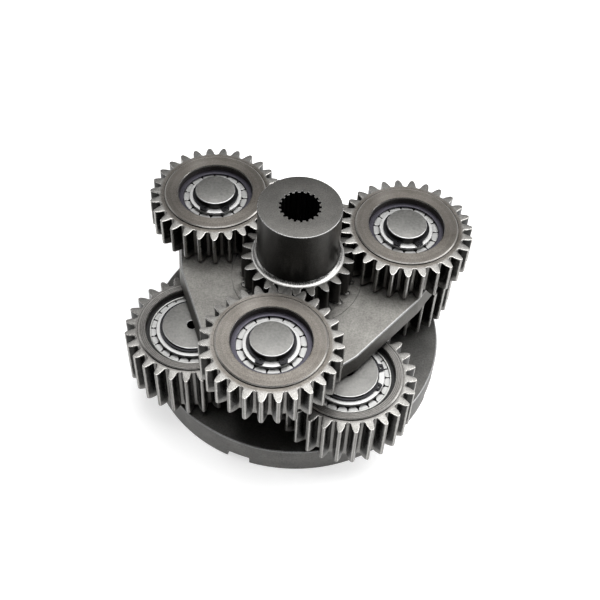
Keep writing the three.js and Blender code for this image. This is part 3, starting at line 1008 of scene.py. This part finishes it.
def make_planet(stage, index, materials):
    """One planet gear with its pin, bearing, circlip and washer."""
    name = stage["name"]
    joint = next(j for j in frame["joints"] if j["name"] == f"{name}_planet_spin_{index}")
    centre = joint["pos_m"][:2]
    fixed, planet_body = stage["fixed_body"], f"{name}_planet_body_{index}"
    roller_body = f"{name}_roller_body_{index}"

    def node(part):
        return f"{name}_{part}_{index}"

    def add(part, mesh, material, body, creases=()):
        finish, place = materials[material], (*centre, 0)
        piece(f"{node(part)}_fine", mesh, finish, body, [node(part)], place, creases)

    def add_turned(part, profile, material, body):
        add(part, lathe(part, profile), material, body)

    bottom, top = span(node("planet_gear"))
    gear = placed({**stage, "teeth": PLANET_TEETH}, node("planet_gear"), centre)
    mesh = planet_gear_mesh(stage, gear, bottom, top - ANNULUS_RISE)
    creases = stage["step_r"] - STEP_CHAMFER, stage["step_r"] - STEP_DRAFT
    add("planet_gear", mesh, f"{name}_gear_steel", planet_body, creases)
    add_turned("planet_pin", pin_profile(stage, *span(node("planet_pin"))), "pin_steel", fixed)
    add("rollers", rollers_mesh(stage, *span(node("rollers"))), "roller_steel", roller_body)
    profile = inner_ring_profile(stage, *span(node("bearing_inner_ring")))
    add_turned("bearing_inner_ring", profile, "raceway_steel", fixed)
    profile = keeper_profile(stage, *span(node("roller_retaining_ring")))
    add_turned("roller_retaining_ring", profile, f"{name}_retainer_steel", planet_body)
    washer = node("thrust_washer")
    profile = ring_profile(stage["pin_r"] + 0.15, outer_radius(washer), *span(washer), 0.3)
    add_turned("thrust_washer", profile, "washer_steel", fixed)
    add("pin_circlip", circlip_mesh(stage, *span(node("pin_circlip"))), "circlip_steel", fixed)


# -------- sun gears and rings


def make_first_sun(materials):
    """The upper sun gear, with its flared hub and splined bore."""
    node = "first_sun_gear"
    bottom, top = span(node)
    gear = placed(SUN_1, node)
    outline = gear_outline(gear, flank_points=4, tip_middle=False)
    inner = offset(outline, TOOTH_CHAMFER)
    root = root_radius(gear)
    bore = spline_outline({**INPUT_SPLINE, "turn": start_azimuth(outline)})
    wide = bore * (1 + INPUT_CHAMFER / INPUT_SPLINE["minor"])
    ring = matching_ring(outline)

    flare = []
    for part in np.linspace(0, 1, 7):
        radius = HUB_FLARE_R - (HUB_FLARE_R - HUB_R) * part
        flare.append(ring(radius, SUN_1_TEETH_TOP + HUB_FLARE_H * part**2))
    loops = [
        at_height(bore, bottom + INPUT_CHAMFER),
        at_height(bore, top - INPUT_CHAMFER),
        at_height(wide, top),
        ring(HUB_R - 0.5, top),
        ring(HUB_R, top - 0.6),
        *reversed(flare),
        at_height(circle_under(inner, root - 0.35), SUN_1_TEETH_TOP),
        end_face(inner, gear, SUN_1_TEETH_TOP, END_FALL),
        end_face(outline, gear, SUN_1_TEETH_TOP - TOOTH_CHAMFER, END_FALL),
        at_height(outline, bottom + TOOTH_CHAMFER),
        at_height(inner, bottom),
        ring(root - 2.5, bottom),
        at_height(wide, bottom),
    ]
    mesh = loft("first_sun", loops, ring=True)
    finish = materials["hub_steel"]
    piece("first_sun_gear_fine", mesh, finish, "first_sun_body", [node])


def make_second_sun(materials):
    """The lower sun gear, whose upper end fills the upper carrier's splined hole."""
    node = "second_sun_gear"
    bottom, top = span(node)
    gear = placed(SUN_2, node)
    outline = gear_outline(gear)
    inner = offset(outline, SUN_2_CHAMFER)
    ring = matching_ring(outline)

    loops = [
        ring(SUN_2_BORE_R, bottom + 1),
        ring(SUN_2_BORE_R, top - 1),
        ring(SUN_2_BORE_R + 1, top),
        ring(SUN_2_FACE_R, top),
        at_height(inner, top),
        at_height(outline, top - SUN_2_CHAMFER),
        at_height(outline, bottom + SUN_2_CHAMFER),
        at_height(inner, bottom),
        ring(SUN_2_FACE_R, bottom),
        ring(SUN_2_BORE_R + 1, bottom),
    ]
    mesh = loft("second_sun", loops, ring=True)
    finish = materials["sun_gear_steel"]
    piece("second_sun_gear_fine", mesh, finish, "upper_carrier_body", [node])


def make_plain_rings(materials):
    for node, body, bore in (
        ("sun_spacer_ring", "upper_carrier_body", SPACER_BORE_R),
        ("sun_thrust_ring", "lower_carrier_body", THRUST_RING_BORE_R),
    ):
        mesh = lathe(node, ring_profile(bore, outer_radius(node), *span(node), 0.4))
        piece(f"{node}_fine", mesh, materials["washer_steel"], body, [node])


# -------- carriers


def pin_places(stage):
    """Each pin's azimuth, and its place in millimetres."""
    places = []
    for joint in frame["joints"]:
        if joint["name"].startswith(f"{stage['name']}_planet_spin"):
            x, y = joint["pos_m"][0] / MM, joint["pos_m"][1] / MM
            places.append((math.atan2(y, x), x, y))
    return places


def column(name, profile, x, y):
    """A solid turned from (radius, height) about an upright line at x and y."""
    return loft(name, [circle_loop(r, z, COLUMN_SIDES) + np.array([x, y, 0]) for r, z in profile])


def hole_cutter(radius, x, y, bottom, top):
    """A cylinder with flared ends, which leaves a hole with broken edges."""
    over = 1.0
    flare = radius + BORE_CHAMFER + over
    profile = [
        (flare, bottom - over), (radius, bottom + BORE_CHAMFER),
        (radius, top - BORE_CHAMFER), (flare, top + over),
    ]
    return column("hole", profile, x, y)


def plate_radius(angle):
    """The upper carrier's outline: its distance from the axis at an angle from a side's normal."""
    reach = PLATE_FLAT / max(1e-6, math.cos(angle))
    for bend in (PLATE_FIRST_BEND, PLATE_LAST_BEND):  # a line that leaves the flat where it bends
        slope = math.tan(bend["turn"]) * math.copysign(1, bend["side"])
        across = math.cos(angle) + math.sin(angle) * slope
        if across > 0:
            reach = min(reach, (PLATE_FLAT + bend["side"] * slope) / across)
    return min(reach, PLATE_CORNER_R)


def plate_outline(angles):
    """The upper carrier's outline at the given azimuths."""
    normals = [azimuth - math.pi / 3 for azimuth, _, _ in pin_places(UPPER)]
    points = []
    for theta in angles:
        offsets = [(theta - n + math.pi) % (2 * math.pi) - math.pi for n in normals]
        radius = plate_radius(min(offsets, key=abs))
        points.append(polar(radius, theta))
    return np.array(points)


def make_upper_carrier(materials):
    """The three-sided plate, with its splined hole, the seam round it and the pins' holes."""
    node = "upper_carrier"
    bottom, top = span(node)
    socket = offset(gear_outline(placed(SUN_2, "second_sun_gear")), -SOCKET_GAP)
    count = len(socket)
    start = start_azimuth(socket)
    outline = plate_outline(start + np.arange(count) * 2 * math.pi / count)
    wall_top = offset(outline, PLATE_LEAN)
    wall_foot = offset(outline, -PLATE_LEAN)
    seam, half = PLATE_SEAM["radius"], PLATE_SEAM["width"] / 2
    centre_top, seam_floor = top - PLATE_SEAM["drop"], top - PLATE_SEAM["depth"]
    ring = matching_ring(socket)

    loops = [
        at_height(socket, bottom + 0.6),
        at_height(socket, centre_top - 0.5),
        at_height(offset(socket, -0.5), centre_top),
        ring(seam - half, centre_top),
        ring(seam - half + 0.02, seam_floor),
        ring(seam + half, seam_floor),
        ring(seam + half + 0.02, top),
        at_height(offset(wall_top, 1.5), top),
        at_height(wall_top, top - 1.3),
        at_height(wall_foot, bottom + 0.8),
        at_height(offset(wall_foot, 0.8), bottom),
        ring(60.0, bottom),
        at_height(offset(socket, -0.6), bottom),
    ]
    plate = loft("upper_carrier", loops, ring=True)
    hole_r = UPPER["pin_r"] + PIN_FIT
    cutters = [hole_cutter(hole_r, x, y, bottom, top) for _, x, y in pin_places(UPPER)]
    mesh = cut(plate, cutters)
    finish = materials["plate_steel"]
    piece("upper_carrier_fine", mesh, finish, "upper_carrier_body", [node])


def box_mesh(size, turn, place):
    """A block with its edges broken, as a closed mesh, standing at a place and turned about Z."""
    half_x, half_y, half_z = (s / 2 for s in size)
    edge = 1.0
    corners = [
        (half_x - edge, -half_y), (half_x, -half_y + edge),
        (half_x, half_y - edge), (half_x - edge, half_y),
        (-half_x + edge, half_y), (-half_x, half_y - edge),
        (-half_x, -half_y + edge), (-half_x + edge, -half_y),
    ]
    cos, sin = math.cos(turn), math.sin(turn)
    centre, foot = np.array(place[:2]), place[2] - half_z
    flat = np.array([(x * cos - y * sin, x * sin + y * cos) for x, y in corners]) + centre
    shrunk = centre + (flat - centre) * 0.93
    head = place[2] + half_z
    levels = [(flat, foot), (flat, head - edge), (shrunk, head)]
    return loft("block", [at_height(points, z) for points, z in levels])


def make_lower_carrier(materials):
    """The disc, with its splined centre, a boss and a hole for each pin, and the rim's notches."""
    node = "lower_carrier"
    bottom, boss_top = span(node)
    socket = spline_outline(OUTPUT_SPLINE)
    wide = socket * (1 + BORE_CHAMFER / OUTPUT_SPLINE["minor"])
    ring = matching_ring(socket)

    loops = [
        at_height(socket, bottom + BORE_CHAMFER),
        at_height(socket, DISC_TOP - BORE_CHAMFER),
        at_height(wide, DISC_TOP),
        ring(52.0, DISC_TOP),
        ring(53.0, DISC_TOP),
        ring(DISC_R - 1.2, DISC_TOP),
        ring(DISC_R, DISC_TOP - 1.2),
        ring(DISC_R, bottom + 1.5),
        ring(DISC_R - 1.5, bottom),
        ring(60.0, bottom),
        at_height(wide, bottom),
    ]
    disc = loft("lower_carrier", loops, ring=True)
    bosses, cutters = [], []
    for azimuth, x, y in pin_places(LOWER):
        profile = [
            (BOSS_R - 1.5, DISC_TOP - 3), (BOSS_R, DISC_TOP + 0.001),
            (BOSS_R, boss_top - 1.0), (BOSS_R - 1.0, boss_top),
        ]
        bosses.append(column("boss", profile, x, y))
        cutters.append(hole_cutter(LOWER["pin_r"] + PIN_FIT, x, y, bottom, boss_top))
        turn = azimuth + NOTCH["turn"]
        place = (*polar(DISC_R, turn), 0)
        size = (2 * NOTCH["depth"], NOTCH["width"], 2 * NOTCH["height"])
        cutters.append(box_mesh(size, turn, place))
    mesh = cut(cut(disc, bosses, "UNION"), cutters)
    finish = materials["disc_steel_shade_and_light"]
    piece("lower_carrier_fine", mesh, finish, "lower_carrier_body", [node])


# -------- the whole model

bpy.context.scene.view_settings.view_transform = "Standard"
make_camera()
make_floor()
for light in LIGHTS:
    area_light(*light)
make_world()
finishes = make_materials()
make_first_sun(finishes)
make_second_sun(finishes)
make_plain_rings(finishes)
make_upper_carrier(finishes)
make_lower_carrier(finishes)
for planet_stage in (UPPER, LOWER):
    for number in range(1, planet_stage["planets"] + 1):
        make_planet(planet_stage, number, finishes)
